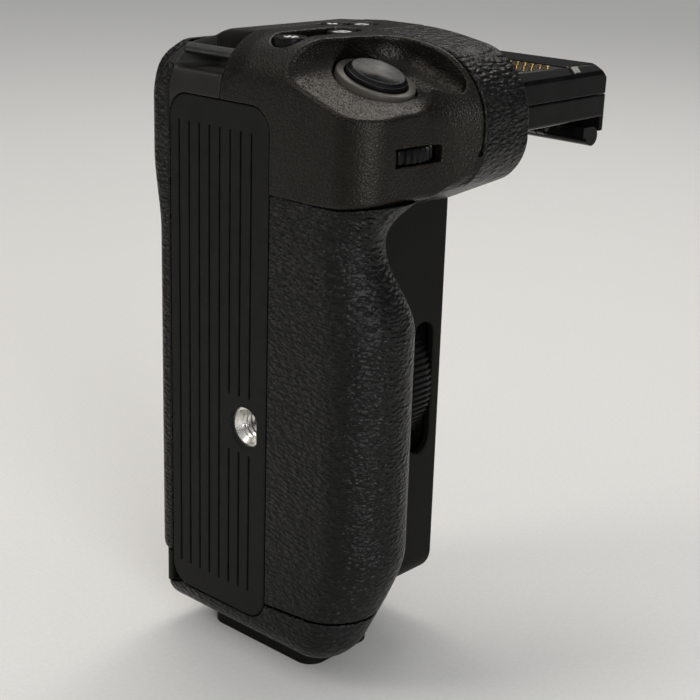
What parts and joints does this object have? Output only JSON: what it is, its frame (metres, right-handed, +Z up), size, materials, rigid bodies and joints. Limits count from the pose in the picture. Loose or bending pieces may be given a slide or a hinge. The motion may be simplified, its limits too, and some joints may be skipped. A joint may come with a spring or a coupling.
{
  "type": "camera battery grip",
  "caption": "Vertical battery grip for a camera: ribbed base, leather-grained handgrip, contact tower, shutter controls, attaching wheel and a slide-out battery tray with a turning latch.",
  "frame": {"origin": "on the camera screw axis, where the screw leaves the deck face", "axes": "+X out of the deck along the camera screw, -Y to the handgrip front, +Z up towards the shutter end as it stands on its foot plate"},
  "size_m": [0.0855, 0.069, 0.1386],
  "materials": {
    "body_plastic": "fine satin moulding",
    "head_plastic": "fine speckled moulding",
    "rear_plastic": "smooth satin moulding",
    "pad_rubber": "matte ribbed rubber",
    "grip_rubber": "leather-grained soft rubber",
    "band_rubber": "leather-grained soft rubber",
    "rear_rubber": "leather-grained soft rubber",
    "cap_rubber": "leather-grained soft rubber",
    "foot_plastic": "smooth satin",
    "bushing_steel": "turned steel",
    "deck_plastic": "fine matte moulding",
    "fastener_steel": "black oxide",
    "gasket_rubber": "matte rubber",
    "pin_steel": "ground steel",
    "tower_plastic": "polished black",
    "contact_plastic": "matte",
    "contact_gold": "gold plated",
    "clip_steel": "bare spring steel",
    "catch_plastic": "polished black",
    "strap_steel": "black enamel",
    "chassis_metal": "pressed sheet",
    "board": "solder mask",
    "cable": "flexible film",
    "wheel_plastic": "knurled satin",
    "thread_steel": "rolled thread",
    "tray_plastic": "fine matte moulding",
    "pack_plastic": "fine matte moulding",
    "latch_plastic": "satin",
    "tongue_steel": "pressed steel",
    "shutter_cap": "circular brushed, dark",
    "ring_plastic": "satin",
    "switch_plastic": "matte",
    "dial_plastic": "ribbed gloss",
    "button_plastic": "gloss"
  },
  "bodies": {
    "grip": {"body_shell": "body_plastic", "head_shell": "head_plastic", "rear_shell": "rear_plastic", "base_pad": "pad_rubber", "handgrip_skin": "grip_rubber", "head_band": "band_rubber", "rear_skin": "rear_rubber", "tripod_bushing": "bushing_steel", "deck_plate": "deck_plastic", "deck_screws": "fastener_steel", "deck_gasket": "gasket_rubber", "locating_pins": "pin_steel", "tower_shell": "tower_plastic", "tower_cover": "tower_plastic", "contact_block": "contact_plastic", "contact_pins": "contact_gold", "tower_clip": "clip_steel", "catch_pin": "pin_steel", "strap_bar": "strap_steel", "chassis_plate": "chassis_metal", "circuit_board": "board", "head_cable": "cable", "bay_contact_block": "contact_plastic", "bay_contact_fingers": "contact_gold", "shutter_ring": "ring_plastic", "shutter_switch": "switch_plastic", "front_dial_axle": "pin_steel", "rear_dial_axle": "pin_steel"},
    "tray": {"battery_tray": "tray_plastic", "battery_upper": "pack_plastic", "battery_lower": "pack_plastic", "tray_contacts": "contact_gold", "end_cap": "cap_rubber", "foot_plate": "foot_plastic"},
    "latch": {"latch_knob": "latch_plastic", "latch_tongue": "tongue_steel"},
    "wheel": {"attaching_wheel": "wheel_plastic", "camera_screw": "thread_steel"},
    "catch": {"tower_catch": "catch_plastic"},
    "shutter": {"shutter_button": "shutter_cap"},
    "dial_front": {"front_dial": "dial_plastic"},
    "dial_rear": {"rear_dial": "dial_plastic"},
    "key_a": {"button_a": "button_plastic"},
    "key_b": {"button_b": "button_plastic"},
    "key_c": {"button_c": "button_plastic"},
    "key_d": {"button_d": "button_plastic"},
    "key_rear": {"rear_action_button": "button_plastic"}
  },
  "joints": [
    {"name": "tray_slide", "type": "slide", "parent": "grip", "child": "tray", "axis": [0, 0, -1], "range_m": [0, 0.1]},
    {"name": "latch_turn", "type": "hinge", "parent": "tray", "child": "latch", "pos_m": [-0.0249, 0.00355, -0.058], "axis": [0, 0, -1], "range_deg": [0, 90]},
    {"name": "wheel_turn", "type": "hinge", "parent": "grip", "child": "wheel", "pos_m": [0, 0, 0], "axis": [1, 0, 0], "continuous": true},
    {"name": "catch_swing", "type": "hinge", "parent": "grip", "child": "catch", "pos_m": [0.0315, 0, 0.0546], "axis": [0, -1, 0], "range_deg": [0, 8], "stiffness_Nm_per_rad": 0.05},
    {"name": "shutter_press", "type": "slide", "parent": "grip", "child": "shutter", "axis": [0, 0.3502, -0.9367], "range_m": [0, 0.001], "stiffness_N_per_m": 400},
    {"name": "front_dial_turn", "type": "hinge", "parent": "grip", "child": "dial_front", "pos_m": [-0.029, -0.022, 0.0562], "axis": [0, 0, 1], "continuous": true},
    {"name": "rear_dial_turn", "type": "hinge", "parent": "grip", "child": "dial_rear", "pos_m": [-0.02, 0.02, 0.0575], "axis": [0, 0, 1], "continuous": true},
    {"name": "button_a_press", "type": "slide", "parent": "grip", "child": "key_a", "axis": [0, 0, -1], "range_m": [0, 0.0008], "stiffness_N_per_m": 300},
    {"name": "button_b_press", "type": "slide", "parent": "grip", "child": "key_b", "axis": [0, 0, -1], "range_m": [0, 0.0008], "stiffness_N_per_m": 300},
    {"name": "button_c_press", "type": "slide", "parent": "grip", "child": "key_c", "axis": [0, 0, -1], "range_m": [0, 0.0008], "stiffness_N_per_m": 300},
    {"name": "button_d_press", "type": "slide", "parent": "grip", "child": "key_d", "axis": [0, 0, -1], "range_m": [0, 0.0008], "stiffness_N_per_m": 300},
    {"name": "rear_button_press", "type": "slide", "parent": "grip", "child": "key_rear", "axis": [0, -1, 0], "range_m": [0, 0.0008], "stiffness_N_per_m": 300}
  ]
}
